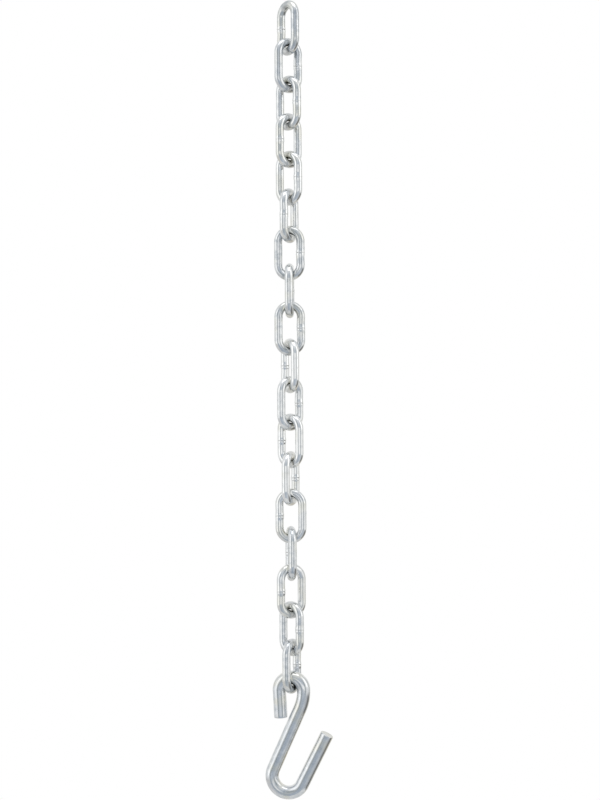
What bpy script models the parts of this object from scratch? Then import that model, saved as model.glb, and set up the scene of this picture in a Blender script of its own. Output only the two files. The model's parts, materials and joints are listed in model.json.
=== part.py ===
"""Trailer safety chain: eighteen welded steel links, with an open S-hook on the lowest link.

Metres, +Z up. The chain hangs straight down from the origin, which is the bearing point inside
the top bow of the first link. Each link hangs on the lower bow of the link above it.
"""
import math

import bmesh
import bpy
from mathutils import Matrix, Vector

# ---- the chain ----
LINK_WIRE_D = 0.0070        # drawn steel wire of the links
LINK_PITCH = 0.0315         # from one link to the next, chain pulled straight
LINK_INSIDE_W = 0.0124      # between the two straight legs of a link
LINK_PLAY = 0.00045         # running clearance where one link sits in the next

# How far each link stands turned about the chain's own line, in degrees, from the top down.
# Neighbours stand roughly square to each other, as interlocked links must.
LINK_TURNS = (
    -53, 34, -43, 40, -38, 63, -16, 87, 15,
    -64, 40, -40, 66, -10, 98, 27, -45, 63,
)

# ---- the S-hook ----
HOOK_WIRE_D = 0.0113        # thicker wire than the chain's
HOOK_TURN = -13             # degrees about the chain's line
HOOK_PLAY = 0.0009          # clearance on the lowest link's bow
EYE_RADIUS = 0.0105         # bend of the closed upper eye, to the middle of the wire
EYE_OFFSET = -0.0004        # the eye's centre, sideways of the chain's line
STUB_LEAN = 3.0             # degrees: the eye's short leg, tucked towards the shank
STUB_DROP = 0.0234          # from the eye's centre down to the short leg's cut end
SHOULDER_RADIUS = 0.0380    # the gentle bend that leads from the eye into the shank
SHANK_LEAN = 24.2           # degrees from vertical
SHANK_LENGTH = 0.0564       # straight part of the shank
THROAT_RADIUS = 0.0137      # bend of the open lower hook
ARM_LEAN = 26.7             # degrees from vertical: the open arm
ARM_LENGTH = 0.0480         # straight part of the open arm

# ---- which way each swing axis points ----
# A link swings about a level axis through the wire that it hangs on. The axis lies between the
# upper link's width and the square to the lower link's flat; "-" turns it to point the other way.
AXIS_SIDES = "+--++--+++--++----"

# ---- facets ----
LINK_SIDES = 12
LINK_BOW_STEPS = 10
HOOK_SIDES = 16
DEGREES_PER_HOOK_STEP = 12

LINK_COLOUR = (0.66, 0.68, 0.71, 1.0)
HOOK_COLOUR = (0.60, 0.62, 0.66, 1.0)

link_radius = LINK_WIRE_D / 2
hook_radius = HOOK_WIRE_D / 2


def clear_scene():
    for old in list(bpy.data.objects):
        bpy.data.objects.remove(old, do_unlink=True)


def zinc_plate(name, colour, roughness):
    material = bpy.data.materials.new(name)
    material.use_nodes = True
    shader = material.node_tree.nodes["Principled BSDF"]
    shader.inputs["Base Color"].default_value = colour
    shader.inputs["Metallic"].default_value = 1.0
    shader.inputs["Roughness"].default_value = roughness
    return material


def start_wire(bm, sides, radius, centre, direction):
    """A ring of edges: the wire's cross-section at its first point."""
    turn = Vector((0.0, 0.0, 1.0)).rotation_difference(direction).to_matrix().to_4x4()
    circle = bmesh.ops.create_circle(
        bm, segments=sides, radius=radius, matrix=Matrix.Translation(centre) @ turn
    )
    return list({edge for vert in circle["verts"] for edge in vert.link_edges})


def edges_in(geometry):
    return [item for item in geometry if isinstance(item, bmesh.types.BMEdge)]


def run_straight(bm, ring, offset):
    """Carries the wire's open end along a straight line."""
    made = bmesh.ops.extrude_edge_only(bm, edges=ring)["geom"]
    verts = [item for item in made if isinstance(item, bmesh.types.BMVert)]
    bmesh.ops.translate(bm, verts=verts, vec=offset)
    return edges_in(made)


def run_bend(bm, ring, centre, angle, steps):
    """Carries the wire's open end round a bend that lies in the XZ plane."""
    made = bmesh.ops.spin(
        bm, geom=ring, cent=centre, axis=(0.0, 1.0, 0.0), angle=angle, steps=steps
    )
    return edges_in(made["geom_last"])


def bend_steps(sweep):
    return round(math.degrees(sweep) / DEGREES_PER_HOOK_STEP)


def finish_mesh(bm, name):
    bmesh.ops.recalc_face_normals(bm, faces=bm.faces)
    mesh = bpy.data.meshes.new(name)
    bm.to_mesh(mesh)
    bm.free()
    mesh.shade_smooth()
    mesh.set_sharp_from_angle(angle=math.radians(50))
    return mesh


def link_mesh():
    """One closed link, seen from the middle of the wire that it hangs on."""
    bow = LINK_INSIDE_W / 2 + link_radius
    crown = LINK_WIRE_D + LINK_PLAY
    top = Vector((0.0, 0.0, crown - bow))
    bottom = Vector((0.0, 0.0, -LINK_PITCH + bow))
    bm = bmesh.new()
    first = start_wire(
        bm, LINK_SIDES, link_radius, top + Vector((bow, 0.0, 0.0)), Vector((0.0, 0.0, 1.0))
    )
    ring = run_bend(bm, first, top, -math.pi, LINK_BOW_STEPS)
    ring = run_straight(bm, ring, bottom - top)
    ring = run_bend(bm, ring, bottom, -math.pi, LINK_BOW_STEPS)
    bmesh.ops.bridge_loops(bm, edges=ring + first)
    return finish_mesh(bm, "chain_link")


def hook_mesh():
    """The S-hook, seen from the middle of the link wire that it hangs on."""
    stub = math.radians(STUB_LEAN)
    shank = math.radians(SHANK_LEAN)
    arm = math.radians(ARM_LEAN)
    eye = Vector((EYE_OFFSET, 0.0, link_radius + hook_radius + HOOK_PLAY - EYE_RADIUS))
    stub_up = Vector((-math.sin(stub), 0.0, math.cos(stub)))
    stub_top = eye + EYE_RADIUS * Vector((-math.cos(stub), 0.0, -math.sin(stub)))
    stub_length = (stub_top.z - eye.z + STUB_DROP) / math.cos(stub)

    # the shoulder takes over level with the eye's centre, and the throat bends the other way
    shoulder = eye + Vector((EYE_RADIUS - SHOULDER_RADIUS, 0.0, 0.0))
    out_of_bend = Vector((math.cos(shank), 0.0, -math.sin(shank)))
    shank_down = SHANK_LENGTH * Vector((-math.sin(shank), 0.0, -math.cos(shank)))
    shank_foot = shoulder + SHOULDER_RADIUS * out_of_bend + shank_down
    throat = shank_foot + THROAT_RADIUS * out_of_bend
    arm_up = Vector((math.sin(arm), 0.0, math.cos(arm)))

    bm = bmesh.new()
    ring = start_wire(bm, HOOK_SIDES, hook_radius, stub_top - stub_length * stub_up, stub_up)
    bmesh.ops.edgeloop_fill(bm, edges=ring)
    ring = run_straight(bm, ring, stub_length * stub_up)
    for centre, sweep in ((eye, math.pi + stub), (shoulder, shank)):
        ring = run_bend(bm, ring, centre, sweep, bend_steps(sweep))
    ring = run_straight(bm, ring, shank_down)
    throat_sweep = math.pi + shank - arm
    ring = run_bend(bm, ring, throat, -throat_sweep, bend_steps(throat_sweep))
    ring = run_straight(bm, ring, ARM_LENGTH * arm_up)
    bmesh.ops.edgeloop_fill(bm, edges=ring)
    return finish_mesh(bm, "s_hook")


def add_object(name, data, parent, location, turn):
    """Places a piece, or an empty, under its parent, turned about the vertical."""
    piece = bpy.data.objects.new(name, data)
    bpy.context.scene.collection.objects.link(piece)
    piece.parent = parent
    piece.location = location
    piece.rotation_euler = (0.0, 0.0, math.radians(turn))
    return piece


def swing_azimuth(upper_turn, lower_turn, share, side):
    """The swing axis's direction in plan, in degrees.

    share 0 lays it along the upper link's width, and 1 square to the lower piece's flat.
    """
    off_square = (lower_turn - upper_turn) % 180 - 90
    azimuth = upper_turn + share * off_square
    return azimuth if side == "+" else azimuth + 180


def hang(name, mesh, turn, above, above_turn, share, side, number):
    """Hangs a piece on the one above it, under an empty whose X axis is the swing axis."""
    azimuth = swing_azimuth(above_turn, turn, share, side)
    drop = (0.0, 0.0, -LINK_PITCH)
    pivot = add_object(f"pivot_{number:02d}", None, above, drop, azimuth - above_turn)
    return add_object(name, mesh, pivot, (0.0, 0.0, 0.0), turn - azimuth)


def build():
    clear_scene()
    links = link_mesh()
    links.materials.append(zinc_plate("zinc_chain", LINK_COLOUR, 0.30))
    hook = hook_mesh()
    hook.materials.append(zinc_plate("zinc_hook", HOOK_COLOUR, 0.34))

    top_eye = add_object("top_eye", None, None, (0.0, 0.0, 0.0), 0.0)
    hang_point = (0.0, 0.0, -(link_radius + LINK_PLAY))
    piece = add_object("link_01", links, top_eye, hang_point, LINK_TURNS[0])
    for index in range(1, len(LINK_TURNS)):
        name = f"link_{index + 1:02d}"
        turns = LINK_TURNS[index], LINK_TURNS[index - 1]
        piece = hang(name, links, turns[0], piece, turns[1], 0.5, AXIS_SIDES[index - 1], index)
    last = len(LINK_TURNS)
    hang("s_hook", hook, HOOK_TURN, piece, LINK_TURNS[-1], 1.0, AXIS_SIDES[last - 1], last)


build()
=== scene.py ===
import json
import math

import bpy
import bmesh
from mathutils import Matrix, Vector, kdtree


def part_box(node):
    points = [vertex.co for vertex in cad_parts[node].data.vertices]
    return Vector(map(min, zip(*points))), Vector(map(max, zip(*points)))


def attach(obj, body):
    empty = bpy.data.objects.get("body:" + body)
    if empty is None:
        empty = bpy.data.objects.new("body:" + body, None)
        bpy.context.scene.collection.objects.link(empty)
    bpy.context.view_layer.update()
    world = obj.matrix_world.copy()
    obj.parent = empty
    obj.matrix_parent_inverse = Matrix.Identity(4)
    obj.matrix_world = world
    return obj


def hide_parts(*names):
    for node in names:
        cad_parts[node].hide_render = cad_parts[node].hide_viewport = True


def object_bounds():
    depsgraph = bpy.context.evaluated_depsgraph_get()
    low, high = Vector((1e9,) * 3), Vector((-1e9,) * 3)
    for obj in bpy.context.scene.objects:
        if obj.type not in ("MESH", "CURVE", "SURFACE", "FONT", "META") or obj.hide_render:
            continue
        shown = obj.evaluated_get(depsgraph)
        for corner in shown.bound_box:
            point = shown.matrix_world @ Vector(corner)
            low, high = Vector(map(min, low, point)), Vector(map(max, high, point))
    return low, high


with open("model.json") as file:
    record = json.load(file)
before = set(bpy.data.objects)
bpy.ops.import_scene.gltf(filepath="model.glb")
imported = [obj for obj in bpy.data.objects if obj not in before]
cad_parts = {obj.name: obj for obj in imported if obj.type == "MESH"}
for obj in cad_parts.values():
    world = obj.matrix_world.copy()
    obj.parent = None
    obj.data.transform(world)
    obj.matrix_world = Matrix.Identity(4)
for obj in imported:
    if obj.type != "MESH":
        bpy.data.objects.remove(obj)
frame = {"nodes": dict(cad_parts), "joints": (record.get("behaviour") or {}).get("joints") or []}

# ---- Camera ----
# A long lens stands level in front of the hanging chain, at half its height. The chain fills
# the view from top to bottom and hangs a little left of its middle, a hair off plumb.
cad_low, cad_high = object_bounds()
SENSOR_LONG_SIDE = 36.0          # millimetres; the view's long side is its height
LENS = 70.0                      # millimetres
VIEW_HEIGHT = 0.6714             # metres, where the chain hangs
CHAIN_LEFT_OF_MIDDLE = 0.0082
OFF_PLUMB = math.radians(0.34)

camera_distance = VIEW_HEIGHT * LENS / SENSOR_LONG_SIDE
half_way_down = (cad_low.z + cad_high.z) / 2
lens_data = bpy.data.cameras.new("portrait_lens")
lens_data.lens = LENS
lens_data.sensor_width = SENSOR_LONG_SIDE
camera = bpy.data.objects.new("camera", lens_data)
camera.location = (CHAIN_LEFT_OF_MIDDLE, -camera_distance, half_way_down)
camera.rotation_euler = (math.radians(90), OFF_PLUMB, 0.0)
bpy.context.scene.collection.objects.link(camera)
bpy.context.scene.camera = camera
bpy.context.scene.view_settings.view_transform = "Standard"

# ---- Floor ----
# A round sheet of matt white card lies on the ground, well below the hook's bend and out of
# the front view. It is cut from one piece, and the undersides of the bright zinc mirror it.
FLOOR_BELOW_HOOK = 0.62
FLOOR_RADIUS = 0.60
FLOOR_SIDES = 128
FLOOR_TONE = (0.80, 0.80, 0.79, 1.0)
FLOOR_ROUGHNESS = 0.9

bpy.ops.object.select_all(action="DESELECT")
bpy.ops.mesh.primitive_circle_add(
    vertices=FLOOR_SIDES, radius=FLOOR_RADIUS, fill_type="NGON",
    location=(0.0, 0.0, cad_low.z - FLOOR_BELOW_HOOK),
)
floor = bpy.context.object
floor.name = "floor"
floor_card = bpy.data.materials.new("white_card")
floor_card.use_nodes = True
card_shader = floor_card.node_tree.nodes["Principled BSDF"]
card_shader.inputs["Base Color"].default_value = FLOOR_TONE
card_shader.inputs["Roughness"].default_value = FLOOR_ROUGHNESS
floor.data.materials.append(floor_card)

# ---- Studio light ----
# Two tall soft boxes stand in front, left and right, and one hangs overhead. The room is pale at
# the sides and behind, and blue-grey in front between two dark door jambs, with the lens's white
# card in the middle. Polished zinc mirrors all of it, so the room is painted all the way round.
SOFT_BOXES = (
    # name, (azimuth from the camera, distance, height above mid-chain), width, height, watts
    ("soft_box_left", (-66.0, 2.1, 0.4), 0.85, 2.4, 2.0),
    ("soft_box_right", (72.0, 2.1, 1.1), 0.45, 2.4, 2.4),
    ("soft_box_top", (0.0, 0.35, 2.0), 1.6, 1.2, 6.0),
)
ROOM_TONES = (
    # how far round from straight behind the chain, by the left, as a share of the full turn
    (0.000, (0.92, 0.92, 0.91)),
    (0.120, (0.95, 0.95, 0.94)),
    (0.165, (0.60, 0.63, 0.63)),
    (0.215, (0.92, 0.93, 0.93)),
    (0.350, (0.95, 0.96, 0.96)),
    (0.400, (0.29, 0.325, 0.34)),
    (0.455, (0.53, 0.575, 0.625)),
    (0.545, (0.53, 0.575, 0.625)),
    (0.595, (0.29, 0.325, 0.34)),
    (0.645, (0.95, 0.96, 0.96)),
    (0.760, (0.93, 0.93, 0.92)),
    (0.815, (0.50, 0.51, 0.49)),
    (0.880, (0.90, 0.90, 0.88)),
    (1.000, (0.92, 0.92, 0.91)),
)
FOOT_TONES = (
    # the same way round, but below the horizon, where the shadowed floor of the room lies
    (0.000, (0.72, 0.72, 0.70)),
    (0.200, (0.66, 0.66, 0.66)),
    (0.350, (0.64, 0.65, 0.66)),
    (0.430, (0.40, 0.45, 0.51)),
    (0.500, (0.44, 0.49, 0.55)),
    (0.600, (0.56, 0.60, 0.64)),
    (0.680, (0.46, 0.47, 0.48)),
    (0.745, (0.19, 0.19, 0.19)),
    (0.810, (0.20, 0.20, 0.19)),
    (0.880, (0.66, 0.63, 0.56)),
    (1.000, (0.72, 0.72, 0.70)),
)
ROOM_TOP = (0.78, 0.80, 0.82, 1.0)
DADO = (0.72, 0.73, 0.72, 1.0)           # a pale band round the room, level with mid-chain
DADO_SHARE = 0.30
LENS_CARD = (0.92, 0.93, 0.93, 1.0)      # the small white card that the lens looks through
BACKDROP = (1.0, 1.0, 1.0, 1.0)
# where each of these begins and is complete, by the height or the frontness of the direction
CEILING_FADE = (0.35, 0.90)
FLOOR_FADE = (-0.16, -0.34)
DADO_FADE = (0.21, 0.09)
CARD_FADE = (0.925, 0.965)

for name, (azimuth, reach, rise), width, height, watts in SOFT_BOXES:
    soft_box = bpy.data.lights.new(name, "AREA")
    soft_box.shape = "RECTANGLE"
    soft_box.size = width
    soft_box.size_y = height
    soft_box.energy = watts
    stand = bpy.data.objects.new(name, soft_box)
    around = math.radians(azimuth)
    stand.location = (reach * math.sin(around), -reach * math.cos(around), half_way_down + rise)
    aim = Vector((0.0, 0.0, half_way_down)) - stand.location
    stand.rotation_euler = aim.to_track_quat("-Z", "Y").to_euler()
    stand.visible_camera = False
    bpy.context.scene.collection.objects.link(stand)


def add_node(tree, kind, inputs=(), **options):
    """Adds a node, sets its options, and feeds its inputs from plain values or from sockets."""
    made = tree.nodes.new("ShaderNode" + kind)
    for option, value in options.items():
        setattr(made, option, value)
    for name, value in dict(inputs).items():
        if isinstance(value, bpy.types.NodeSocket):
            tree.links.new(value, made.inputs[name])
        else:
            made.inputs[name].default_value = value
    return made


def add_ramp(tree, fac, stops):
    """Runs fac through a row of tones, eased from each to the next."""
    ramp = add_node(tree, "ValToRGB", {"Fac": fac})
    ramp.color_ramp.interpolation = "EASE"
    while len(ramp.color_ramp.elements) < len(stops):
        ramp.color_ramp.elements.new(0.5)
    for element, (place, tone) in zip(ramp.color_ramp.elements, stops):
        element.position = place
        element.color = (*tone, 1.0)
    return ramp.outputs["Color"]


def add_mix(tree, fac, first, second):
    """Mixes two colours: fac 0 gives the first and 1 the second."""
    made = add_node(tree, "Mix", data_type="RGBA")
    for name, value in (("Factor", fac), ("A", first), ("B", second)):
        if isinstance(value, bpy.types.NodeSocket):
            tree.links.new(value, made.inputs[name])
        else:
            made.inputs[name].default_value = value
    return made.outputs["Result"]


def add_math(tree, operation, *values):
    """One sum on numbers or sockets, in the order that the operation takes them."""
    return add_node(tree, "Math", enumerate(values), operation=operation).outputs["Value"]


def add_fade(tree, value, span):
    """Rises smoothly from 0 to 1 as the value goes from one end of the span to the other."""
    begins, complete = span
    faded = add_node(
        tree, "MapRange", {"Value": value, "From Min": begins, "From Max": complete},
        interpolation_type="SMOOTHSTEP",
    )
    return faded.outputs["Result"]


room = bpy.data.worlds.new("studio_room")
bpy.context.scene.world = room
room.use_nodes = True
walls = room.node_tree
walls.nodes.clear()
toward = add_node(walls, "TexCoord").outputs["Generated"]
split = add_node(walls, "SeparateXYZ", {"Vector": toward})
upward = split.outputs["Z"]
to_front = add_math(walls, "MULTIPLY", split.outputs["Y"], -1.0)
turn_round = add_math(walls, "ARCTAN2", split.outputs["X"], to_front)
turn_share = add_node(
    walls, "MapRange", {"Value": turn_round, "From Min": -math.pi, "From Max": math.pi}
)
wall_tone = add_ramp(walls, turn_share.outputs["Result"], ROOM_TONES)
foot_tone = add_ramp(walls, turn_share.outputs["Result"], FOOT_TONES)
near_level = add_fade(walls, add_math(walls, "ABSOLUTE", upward), DADO_FADE)
near_lens = add_math(walls, "MULTIPLY", near_level, add_fade(walls, to_front, CARD_FADE))
dado_share = add_math(walls, "MULTIPLY", near_level, DADO_SHARE)
level_room = add_mix(walls, dado_share, wall_tone, DADO)
front_room = add_mix(walls, near_lens, level_room, LENS_CARD)
upper_room = add_mix(walls, add_fade(walls, upward, CEILING_FADE), front_room, ROOM_TOP)
room_tone = add_mix(walls, add_fade(walls, upward, FLOOR_FADE), upper_room, foot_tone)
seen = add_node(walls, "LightPath").outputs["Is Camera Ray"]
glow = add_node(walls, "Background", {"Color": add_mix(walls, seen, room_tone, BACKDROP)})
add_node(walls, "OutputWorld", {"Surface": glow.outputs["Background"]})

# ---- Chain links ----
# Each link is a length of drawn steel wire, bent to an oval and butt-welded shut half-way along
# one leg. The weld leaves an upset collar with a fine seam round its middle. Finished chain is
# barrel-plated in bright zinc, and the links rub each other inside their bows.
LINK_WIRE = 0.0070
LINK_SIDES = 56                  # faces round the wire
BOW_STEPS = 44                   # rings round each half-round bow
LEG_STEPS = 14                   # rings along a leg
WELD_PROFILE = (
    # rise from the seam, and how many times the wire's own thickness
    (0.00010, 1.030),
    (0.00016, 1.058),
    (0.00034, 1.074),
    (0.00060, 1.072),
    (0.00060, 1.058),
    (0.00050, 1.028),
    (0.00060, 1.008),
    (0.00090, 1.000),
)
WELD_SEAM = 1.018                # the seam is a fine groove round the collar
WELD_GROWS_FROM = 0.0026         # outward of the wire's middle, as the collar bulges inward most
WELD_SHIFT = 0.00018             # how far one end was pushed out of line with the other
MERGE_WITHIN = 0.00002           # where the wire's two ends meet at the seam

link_radius = LINK_WIRE / 2


def link_place(node):
    """A link's centre, its turn about the chain's line, half its width and half its height."""
    points = [vert.co for vert in frame["nodes"][node].data.vertices]
    low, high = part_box(node)
    doubled_sine = sum(2 * p.x * p.y for p in points)
    doubled_cosine = sum(p.x * p.x - p.y * p.y for p in points)
    turn = math.atan2(doubled_sine, doubled_cosine) / 2
    half_width = max(math.hypot(p.x, p.y) for p in points)
    return Vector((0.0, 0.0, (low.z + high.z) / 2)), turn, half_width, (high.z - low.z) / 2


_, _, half_width, half_height = link_place("link_01")
leg_out = half_width - link_radius
leg_half = half_height - half_width
weld_half = sum(rise for rise, _ in WELD_PROFILE)

bpy.ops.object.select_all(action="DESELECT")
bpy.ops.mesh.primitive_circle_add(
    vertices=LINK_SIDES, radius=link_radius * WELD_SEAM, location=(leg_out, 0.0, 0.0)
)
link_pattern = bpy.context.object
link_pattern.name = "link_pattern"
bpy.ops.object.transform_apply(location=True, rotation=True, scale=True)
bpy.ops.object.mode_set(mode="EDIT")
bpy.ops.mesh.select_all(action="SELECT")

# up from the seam, through the upper half of the weld
height = 0.0
thickness = WELD_SEAM
middle = leg_out
for rise, swell in WELD_PROFILE:
    lean = WELD_SHIFT * rise / weld_half
    bpy.ops.mesh.extrude_region_move(TRANSFORM_OT_translate={"value": (-lean, lean, rise)})
    height += rise
    middle -= lean
    change = swell / thickness
    bpy.ops.transform.resize(
        value=(change, change, 1.0),
        center_override=(middle + WELD_GROWS_FROM, leg_out - middle, height),
    )
    thickness = swell
# the rest of the leg brings the wire back into line, then come the bow, the far leg, the other bow
step = (leg_half - weld_half) / LEG_STEPS
for _ in range(LEG_STEPS):
    back = WELD_SHIFT / LEG_STEPS
    bpy.ops.mesh.extrude_region_move(TRANSFORM_OT_translate={"value": (back, -back, step)})
bpy.ops.mesh.spin(
    steps=BOW_STEPS, angle=math.pi, center=(0.0, 0.0, leg_half), axis=(0.0, 1.0, 0.0)
)
for _ in range(2 * LEG_STEPS):
    bpy.ops.mesh.extrude_region_move(
        TRANSFORM_OT_translate={"value": (0.0, 0.0, -leg_half / LEG_STEPS)}
    )
bpy.ops.mesh.spin(
    steps=BOW_STEPS, angle=math.pi, center=(0.0, 0.0, -leg_half), axis=(0.0, 1.0, 0.0)
)
for _ in range(LEG_STEPS):
    bpy.ops.mesh.extrude_region_move(TRANSFORM_OT_translate={"value": (0.0, 0.0, step)})
# up through the lower half of the weld, which mirrors the upper half
height = -weld_half
thickness = 1.0
swells = [swell for _, swell in WELD_PROFILE]
for (rise, _), swell in zip(reversed(WELD_PROFILE), [*reversed(swells[:-1]), WELD_SEAM]):
    bpy.ops.mesh.extrude_region_move(TRANSFORM_OT_translate={"value": (0.0, 0.0, rise)})
    height += rise
    change = swell / thickness
    bpy.ops.transform.resize(
        value=(change, change, 1.0), center_override=(leg_out + WELD_GROWS_FROM, 0.0, height)
    )
    thickness = swell
bpy.ops.mesh.select_all(action="SELECT")
bpy.ops.mesh.remove_doubles(threshold=MERGE_WITHIN)
bpy.ops.mesh.normals_make_consistent(inside=False)
bpy.ops.object.mode_set(mode="OBJECT")

# what the material needs to know: the run along the wire, where the links rub and are darkened
# with painted shade, and the weld
RUN_APART = 0.37                 # keeps the drawing marks of one link unlike the next one's
RUB_AND_SHADE_SPREAD = math.radians(30)    # how far round the bow the rub and its painted shade reach
CROWN_WEAR_AND_SHADE = 0.28             # how much wear and painted shade the whole crown takes, and how much more its inside takes
INSIDE_WEAR_AND_SHADE = 0.60
RUB_AND_SHADE_GATHERING = 1.5              # how closely the wear and painted shade keep to the inner side
WELD_REACH = 0.0032              # how far along the wire the weld's painted highlight reaches


def run_on_link(point):
    """Metres along the wire from the seam, the outward direction, and the turn round the bow."""
    if abs(point.z) <= leg_half:
        outward = Vector((math.copysign(1.0, point.x), 0.0, 0.0))
        if point.x > 0:
            return point.z, outward, 0.0
        return leg_half * 2 + math.pi * leg_out - point.z, outward, 0.0
    end = math.copysign(leg_half, point.z)
    outward = Vector((point.x, 0.0, point.z - end)).normalized()
    turn = math.atan2(abs(outward.z), outward.x)
    run = leg_half + leg_out * turn
    return (run if point.z > 0 else -run), outward, turn


def mark_link(mesh):
    """Gives each point its run and its place round the wire, the rub and painted shade of the
    bows, and the weld.
    """
    run_marks = mesh.attributes.new("wire_run", "FLOAT_VECTOR", "POINT")
    rub_and_shade_marks = mesh.attributes.new("rub_and_shade", "FLOAT", "POINT")
    weld_marks = mesh.attributes.new("weld", "FLOAT", "POINT")
    for vert in mesh.vertices:
        run, outward, turn = run_on_link(vert.co)
        core = Vector((0.0, 0.0, max(-leg_half, min(leg_half, vert.co.z)))) + leg_out * outward
        round_wire = (vert.co - core).normalized()
        facing_out = round_wire.dot(outward)
        run_marks.data[vert.index].vector = (
            run, link_radius * facing_out, link_radius * round_wire.y
        )
        # the crowns take wear and painted shade where the links meet, most on their inside
        at_crown = math.exp(-((turn - math.pi / 2) / RUB_AND_SHADE_SPREAD) ** 2) if turn else 0.0
        inward = max(0.0, -facing_out) ** RUB_AND_SHADE_GATHERING
        rub_and_shade_marks.data[vert.index].value = at_crown * (CROWN_WEAR_AND_SHADE + INSIDE_WEAR_AND_SHADE * inward)
        weld_marks.data[vert.index].value = math.exp(-(run / WELD_REACH) ** 2)


mark_link(link_pattern.data)

# bright zinc over drawn wire: smooth, with soft lengthwise bands and fine drawing lines
GREY_STOPS = (0.38, 0.49, 0.58)  # where the mottle is dark, dull and bright
DRIFTS_TO_A_LUMP = 0.3           # the bloom's drifts are that much fewer than the mottle's lumps
MOTTLE_DETAIL, CLOUD_DETAIL, BAND_DETAIL, LINE_DETAIL = 3.0, 2.0, 1.0, 3.0
BLOOM_FROM, BLOOM_TO = 0.50, 0.66
BLOOM_SHARE = 0.7
LINE_FROM, LINE_TO = 0.30, 0.48
LINE_SHARE = 0.28                # how dark the drawing lines are
PIT_FROM, PIT_TO = 0.04, 0.16    # a pit's floor and rim, in cells
PIT_DRIFT_FROM, PIT_DRIFT_TO = 0.46, 0.60
PIT_SHARE = 0.3
WELD_FROM, WELD_TO = 0.35, 0.75  # where the weld's painted highlight fades in
WELD_HIGHLIGHT_SHARE = 0.75
SEAM_FROM, SEAM_TO = 0.984, 0.996
SEAM_SHARE = 0.35
SHEEN_FROM, SHEEN_TO = 0.36, 0.58
LINE_DULLING = 0.25              # roughness that the lines and the rubs add
RUB_DULLING = 0.12
PASSIVATE = 0.15                 # the clear passivate over the zinc, and its own roughness
PASSIVATE_ROUGHNESS = 0.08


def carry_over(tree, fac, low, high, at_low, at_high):
    """Carries fac from the range low..high over to at_low..at_high."""
    return add_node(
        tree, "MapRange",
        {"Value": fac, "From Min": low, "From Max": high, "To Min": at_low, "To Max": at_high},
    ).outputs["Result"]


def even_noise(tree, place, scale, detail):
    """Noise with the same lumps every way; scale counts them to the metre."""
    return add_node(
        tree, "TexNoise", {"Vector": place, "Scale": scale, "Detail": detail, "Roughness": 0.5}
    ).outputs["Fac"]


def stretched_noise(tree, run, along, across, detail):
    """Noise drawn out along the wire; along and across count its lumps to the metre."""
    drawn_out = add_node(
        tree, "VectorMath", {0: run, 1: (along, across, across)}, operation="MULTIPLY"
    )
    return even_noise(tree, drawn_out.outputs["Vector"], 1.0, detail)


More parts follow.
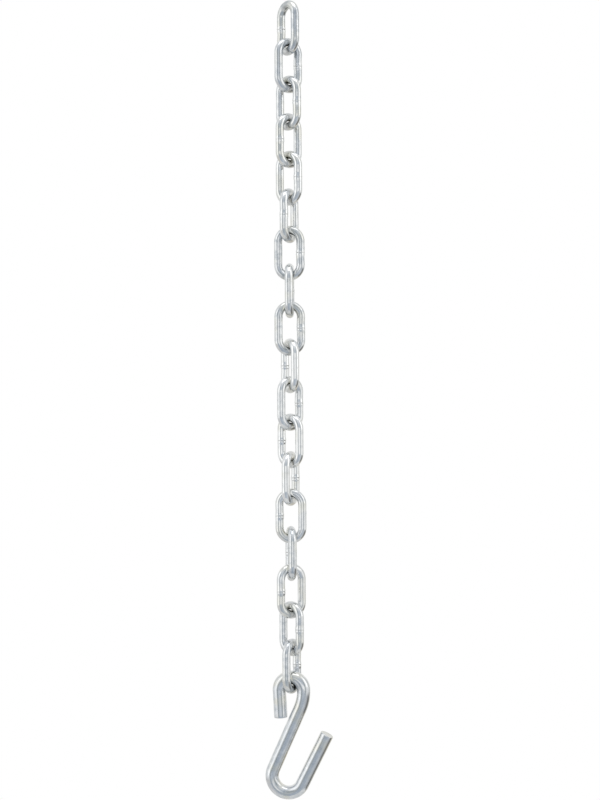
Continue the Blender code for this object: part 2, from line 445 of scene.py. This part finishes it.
def zinc_plate(name, tones, lumps, streakiness, relief_depths, roughness):
    """Bright zinc: a mottle of three greys, bands and lines along the wire, rubs darkened with
    painted shade, a painted highlight on the weld, a darkened seam, and bloom.
    """
    bright, _, dark, bloom, wear_and_shade = ((*tone, 1.0) for tone in tones)
    mottle_lumps, band_along, band_across, line_along, line_across, pit_lumps = lumps
    material = bpy.data.materials.new(name)
    material.use_nodes = True
    tree = material.node_tree
    shader = tree.nodes["Principled BSDF"]
    place = add_node(tree, "TexCoord").outputs["Object"]
    run = add_node(tree, "Attribute", attribute_name="wire_run").outputs["Vector"]
    rub_and_shade = add_node(tree, "Attribute", attribute_name="rub_and_shade").outputs["Fac"]
    weld = add_node(tree, "Attribute", attribute_name="weld").outputs["Fac"]

    mottle = even_noise(tree, place, mottle_lumps, MOTTLE_DETAIL)
    cloud = even_noise(tree, place, mottle_lumps * DRIFTS_TO_A_LUMP, CLOUD_DETAIL)
    bands = stretched_noise(tree, run, band_along, band_across, BAND_DETAIL)
    lines = stretched_noise(tree, run, line_along, line_across, LINE_DETAIL)
    cells = add_node(
        tree, "TexVoronoi", {"Vector": place, "Scale": pit_lumps, "Randomness": 1.0}
    )
    pit_dots = carry_over(tree, cells.outputs["Distance"], PIT_FROM, PIT_TO, 1.0, 0.0)
    pit_drifts = carry_over(tree, cloud, PIT_DRIFT_FROM, PIT_DRIFT_TO, 0.0, 1.0)
    pitted = add_math(tree, "MULTIPLY", pit_dots, pit_drifts)
    patches = add_node(
        tree, "Mix", {"Factor": streakiness, "A": mottle, "B": bands}, data_type="FLOAT"
    ).outputs["Result"]

    tone = add_ramp(tree, patches, tuple(zip(GREY_STOPS, reversed(tones[:3]))))
    bloom_share = carry_over(tree, cloud, BLOOM_FROM, BLOOM_TO, 0.0, BLOOM_SHARE)
    tone = add_mix(tree, bloom_share, tone, bloom)
    line_share = carry_over(tree, lines, LINE_FROM, LINE_TO, LINE_SHARE, 0.0)
    tone = add_mix(tree, line_share, tone, dark)
    tone = add_mix(tree, add_math(tree, "MULTIPLY", pitted, PIT_SHARE), tone, dark)
    # wear and painted shade darken the tone where the links meet
    tone = add_mix(tree, rub_and_shade, tone, wear_and_shade)
    # a painted highlight brightens the weld's collar
    weld_highlight_share = carry_over(tree, weld, WELD_FROM, WELD_TO, 0.0, WELD_HIGHLIGHT_SHARE)
    tone = add_mix(tree, weld_highlight_share, tone, bright)
    # the seam's fine groove is darkened with the same tone
    seam_share = carry_over(tree, weld, SEAM_FROM, SEAM_TO, 0.0, SEAM_SHARE)
    tone = add_mix(tree, seam_share, tone, wear_and_shade)
    tree.links.new(tone, shader.inputs["Base Color"])

    smooth, rough = roughness
    dullness = carry_over(tree, patches, SHEEN_FROM, SHEEN_TO, rough, smooth)
    dullness = add_math(tree, "MULTIPLY_ADD", line_share, LINE_DULLING, dullness)
    dullness = add_math(tree, "MULTIPLY_ADD", rub_and_shade, RUB_DULLING, dullness)
    tree.links.new(dullness, shader.inputs["Roughness"])
    shader.inputs["Metallic"].default_value = 1.0
    shader.inputs["Coat Weight"].default_value = PASSIVATE
    shader.inputs["Coat Roughness"].default_value = PASSIVATE_ROUGHNESS

    relief = {}
    for height, depth in zip((mottle, bands, lines, pitted), relief_depths):
        bump = add_node(
            tree, "Bump", {"Height": height, "Strength": 1.0, "Distance": depth, **relief}
        )
        relief = {"Normal": bump.outputs["Normal"]}
    tree.links.new(relief["Normal"], shader.inputs["Normal"])
    return material


CHAIN_TONES = (
    (0.93, 0.935, 0.935),        # fresh bright zinc, also the weld's painted highlight
    (0.82, 0.83, 0.84),          # duller zinc
    (0.60, 0.63, 0.66),          # the darker patches of the mottle
    (0.80, 0.79, 0.73),          # faint straw bloom of the clear passivate
    (0.40, 0.40, 0.37),          # worn, and painted shade, where the links meet
)
# lumps to the metre: the mottle, the bands along and across, the lines along and across, the pits
CHAIN_LUMPS = (230.0, 45.0, 420.0, 40.0, 2600.0, 700.0)
CHAIN_STREAKS = 0.55             # how far the mottle gives way to the lengthwise bands
CHAIN_RELIEF = (0.000024, 0.000085, 0.0000035, -0.000004)   # of the mottle, bands, lines and pits
CHAIN_ROUGHNESS = (0.08, 0.20)   # of the bright and the dark patches
chain_zinc = zinc_plate(
    "bright_zinc_on_wire", CHAIN_TONES, CHAIN_LUMPS, CHAIN_STREAKS, CHAIN_RELIEF,
    CHAIN_ROUGHNESS,
)
link_pattern.data.materials.append(chain_zinc)

WIRE_WANDER = 0.00011            # how far the wire's surface wanders, from lowest to highest
WIRE_WANDER_SIZE = 0.0055        # and over what length
wire_hand = bpy.data.textures.new("hand_of_wire", "CLOUDS")
wire_hand.noise_scale = WIRE_WANDER_SIZE
wire_hand.noise_depth = 2


def wander_from_true(piece, hand, depth):
    """Gives the piece's surface the slight unevenness of drawn and bent stock."""
    wander = piece.modifiers.new("wander", "DISPLACE")
    wander.texture = hand
    wander.texture_coords = "LOCAL"
    wander.mid_level = 0.5
    wander.strength = depth
    bpy.ops.object.modifier_apply(modifier=wander.name)


# which leg the weld is on, seen from in front, link by link from the top down
WELD_LEGS = "LRRLRLRRRLRLRLLLRR"
TURNED_OVER_EVERY = 3            # so that the welds' misalignment doesn't always point one way
for number, leg in enumerate(WELD_LEGS, start=1):
    node_name = f"link_{number:02d}"
    centre, turn, _, _ = link_place(node_name)
    link = link_pattern.copy()
    link.data = link_pattern.data.copy()
    link.name = f"welded_link_{number:02d}"
    bpy.context.scene.collection.objects.link(link)
    for mark in link.data.attributes["wire_run"].data:
        mark.vector.x += number * RUN_APART
    upside_down = math.pi if number % TURNED_OVER_EVERY == 1 else 0.0
    link.location = centre
    link.rotation_euler = (upside_down, 0.0, turn if leg == "R" else turn + math.pi)
    bpy.ops.object.select_all(action="DESELECT")
    link.select_set(True)
    bpy.context.view_layer.objects.active = link
    bpy.ops.object.transform_apply(location=True, rotation=True, scale=True)
    wander_from_true(link, wire_hand, WIRE_WANDER)
    bpy.ops.object.shade_smooth()
    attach(link, node_name)
    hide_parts(node_name)
bpy.data.objects.remove(link_pattern, do_unlink=True)

# ---- S-hook ----
# A length of thicker drawn bar, sheared square at both ends and bent cold round two pins: a
# closed eye that holds the lowest link, and an open hook. It is zinc-plated after bending.
HOOK_WIRE = 0.0113
HOOK_SIDES = 72
EYE_BEND = 0.0105                # to the middle of the bar
EYE_OFFSET = -0.0004             # sideways of the chain's line
STUB_LEAN = math.radians(3.0)
STUB_DROP = 0.0234               # from the eye's centre down to the short leg's end
SHOULDER_BEND = 0.0380           # the gentle bend from the eye into the shank
SHANK_LEAN = math.radians(24.2)
SHANK_LENGTH = 0.0564
THROAT_BEND = 0.0137
ARM_LEAN = math.radians(26.7)
ARM_LENGTH = 0.0480
DEGREES_PER_RING = 3.0
STRAIGHT_STEP = 0.0016           # between rings along the straight runs
END_ROUNDING = 0.00055           # the sheared ends' rims, softened by tumbling
RIM_ANGLE = math.radians(60)     # the only edges this sharp are those rims
RIM_STEPS = 5
CREASE = math.radians(40)        # sharper edges stay crisp when the bar is shaded smooth
CUT_DISH = (
    # how far in from the last ring, and how far down: the shear leaves the cut faces dished
    (0.0005, 0.00005), (0.0006, 0.00007), (0.0006, 0.00003),
    (0.0008, 0.00001), (0.0008, 0.0), (0.0008, 0.0),
)
CUT_DULLING = 0.22               # plating takes thinly on them
PINCH_PLACE = 0.66               # how far down the shank the bending tool nipped the bar
PINCH = 0.982                    # and how much thinner it is there
EYE_PLAY = 0.0009                # between the eye and the lowest link's bow

hook_joint = next(joint for joint in frame["joints"] if joint["child"] == "s_hook")
hook_turn = math.atan2(hook_joint["axis"][0], -hook_joint["axis"][1])
hook_radius = HOOK_WIRE / 2


def in_plane(angle):
    """Sideways by the cosine and down by the sine, in the hook's own upright plane."""
    return Vector((math.cos(angle), 0.0, -math.sin(angle)))


eye_rise = hook_joint["pos_m"][2] + link_radius + EYE_PLAY + hook_radius - EYE_BEND
eye = Vector((EYE_OFFSET, 0.0, eye_rise))
shoulder = eye - (SHOULDER_BEND - EYE_BEND) * in_plane(0.0)
shank_way = -SHANK_LENGTH * Vector((math.sin(SHANK_LEAN), 0.0, math.cos(SHANK_LEAN)))
shank_foot = shoulder + SHOULDER_BEND * in_plane(SHANK_LEAN) + shank_way
throat = shank_foot + THROAT_BEND * in_plane(SHANK_LEAN)
stub_top = eye - EYE_BEND * in_plane(-STUB_LEAN)
stub_length = (STUB_DROP - EYE_BEND * math.sin(STUB_LEAN)) / math.cos(STUB_LEAN)
stub_way = stub_length * Vector((-math.sin(STUB_LEAN), 0.0, math.cos(STUB_LEAN)))
arm_way = ARM_LENGTH * Vector((math.sin(ARM_LEAN), 0.0, math.cos(ARM_LEAN)))

bpy.ops.object.select_all(action="DESELECT")
bpy.ops.mesh.primitive_circle_add(
    vertices=HOOK_SIDES, radius=hook_radius, location=stub_top - stub_way,
    rotation=(0.0, -STUB_LEAN, 0.0),
)
hook = bpy.context.object
hook.name = "bent_s_hook"
bpy.ops.object.transform_apply(location=True, rotation=True, scale=True)
bpy.ops.object.mode_set(mode="EDIT")
bpy.ops.mesh.select_all(action="SELECT")
bar_line = [stub_top - stub_way]         # the middle of every ring of the bar, in order


def run_bar(way):
    """Carries the bar's open end along a straight run, ring by ring."""
    rings = max(1, round(way.length / STRAIGHT_STEP))
    for _ in range(rings):
        bpy.ops.mesh.extrude_region_move(TRANSFORM_OT_translate={"value": way / rings})
        bar_line.append(bar_line[-1] + way / rings)


def bend_bar(pin, sweep, side):
    """Bends the bar's open end round a pin, to the left with side 1, seen from in front."""
    steps = round(math.degrees(sweep) / DEGREES_PER_RING)
    bpy.ops.mesh.spin(steps=steps, angle=sweep, center=pin, axis=(0.0, side, 0.0))
    one_step = Matrix.Rotation(-side * sweep / steps, 3, "Y")
    for _ in range(steps):
        bar_line.append(pin + one_step @ (bar_line[-1] - pin))


run_bar(stub_way)
bend_bar(eye, math.pi + STUB_LEAN, -1.0)
bend_bar(shoulder, SHANK_LEAN, -1.0)
run_bar(PINCH_PLACE * shank_way)
bpy.ops.transform.resize(value=(PINCH,) * 3, center_override=bar_line[-1])
run_bar(STRAIGHT_STEP * shank_way.normalized())
bpy.ops.transform.resize(value=(1 / PINCH,) * 3, center_override=bar_line[-1])
run_bar(shank_foot - bar_line[-1])
bend_bar(throat, math.pi + SHANK_LEAN - ARM_LEAN, 1.0)
run_bar(arm_way)
bpy.ops.mesh.select_all(action="DESELECT")
bpy.ops.mesh.select_mode(type="EDGE")
bpy.ops.mesh.select_non_manifold()
bpy.ops.mesh.fill_holes(sides=0)
bpy.ops.mesh.select_all(action="SELECT")
bpy.ops.mesh.normals_make_consistent(inside=False)
bpy.ops.mesh.select_all(action="DESELECT")
bpy.ops.mesh.edges_select_sharp(sharpness=RIM_ANGLE)
bpy.ops.mesh.bevel(offset=END_ROUNDING, segments=RIM_STEPS, affect="EDGES")
bpy.ops.mesh.select_mode(type="FACE")
cut_faces = bmesh.from_edit_mesh(hook.data)
for face in cut_faces.faces:
    face.select = len(face.verts) == HOOK_SIDES
bmesh.update_edit_mesh(hook.data)
for inset, sink in CUT_DISH:
    bpy.ops.mesh.inset(thickness=inset, depth=-sink, use_individual=True)
bpy.ops.mesh.poke()
bpy.ops.object.mode_set(mode="OBJECT")

RUB_AND_SHADE_LENGTH = 0.0042              # how far along the bar, each way, the lowest link's rub and painted shade reach


def mark_hook(mesh):
    """Gives each point its run along the bar, its place round it, and where the link rubs, with
    painted shade there.
    """
    run_marks = mesh.attributes.new("wire_run", "FLOAT_VECTOR", "POINT")
    rub_and_shade_marks = mesh.attributes.new("rub_and_shade", "FLOAT", "POINT")
    mesh.attributes.new("weld", "FLOAT", "POINT")
    rings = kdtree.KDTree(len(bar_line))
    runs = [0.0]
    for index, middle in enumerate(bar_line):
        rings.insert(middle, index)
        if index:
            runs.append(runs[-1] + (middle - bar_line[index - 1]).length)
    rings.balance()
    crown_run = stub_length + EYE_BEND * (STUB_LEAN + math.pi / 2)
    for vert in mesh.vertices:
        middle, index, _ = rings.find(vert.co)
        before = bar_line[max(0, index - 1)]
        after = bar_line[min(len(bar_line) - 1, index + 1)]
        heading = (after - before).normalized()
        out = Vector((-heading.z, 0.0, heading.x))
        round_bar = vert.co - middle
        run_marks.data[vert.index].vector = (runs[index], round_bar.dot(out), round_bar.y)
        from_crown = (runs[index] - crown_run) / RUB_AND_SHADE_LENGTH
        inward = max(0.0, -round_bar.dot(out)) / hook_radius
        # the eye's inside takes wear and painted shade where the lowest link sits
        wear_and_shade = math.exp(-from_crown ** 2) * inward ** RUB_AND_SHADE_GATHERING
        on_cut = vert.normal.dot(heading) ** 2 > 0.5
        rub_and_shade_marks.data[vert.index].value = CUT_DULLING if on_cut else wear_and_shade


mark_hook(hook.data)

# the same zinc, a little darker and with longer streaks, in the order of the chain's values
HOOK_TONES = (
    (0.92, 0.925, 0.93),
    (0.74, 0.76, 0.785),
    (0.44, 0.48, 0.53),
    (0.82, 0.80, 0.72),
    (0.38, 0.38, 0.35),
)
HOOK_LUMPS = (240.0, 38.0, 420.0, 25.0, 2300.0, 600.0)
HOOK_STREAKS = 0.72
HOOK_RELIEF = (0.000012, 0.000070, 0.0000045, -0.000006)
HOOK_ROUGHNESS = (0.09, 0.23)
hook_zinc = zinc_plate(
    "bright_zinc_on_bar", HOOK_TONES, HOOK_LUMPS, HOOK_STREAKS, HOOK_RELIEF, HOOK_ROUGHNESS
)
hook.data.materials.append(hook_zinc)
hook.rotation_euler = (0.0, 0.0, hook_turn)
bpy.ops.object.select_all(action="DESELECT")
hook.select_set(True)
bpy.context.view_layer.objects.active = hook
bpy.ops.object.transform_apply(location=True, rotation=True, scale=True)

BAR_WANDER = 0.00014
BAR_WANDER_SIZE = 0.009
bar_hand = bpy.data.textures.new("hand_of_bar", "CLOUDS")
bar_hand.noise_scale = BAR_WANDER_SIZE
bar_hand.noise_depth = 1
wander_from_true(hook, bar_hand, BAR_WANDER)
bpy.ops.object.shade_smooth_by_angle(angle=CREASE)
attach(hook, "s_hook")
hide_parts("s_hook")
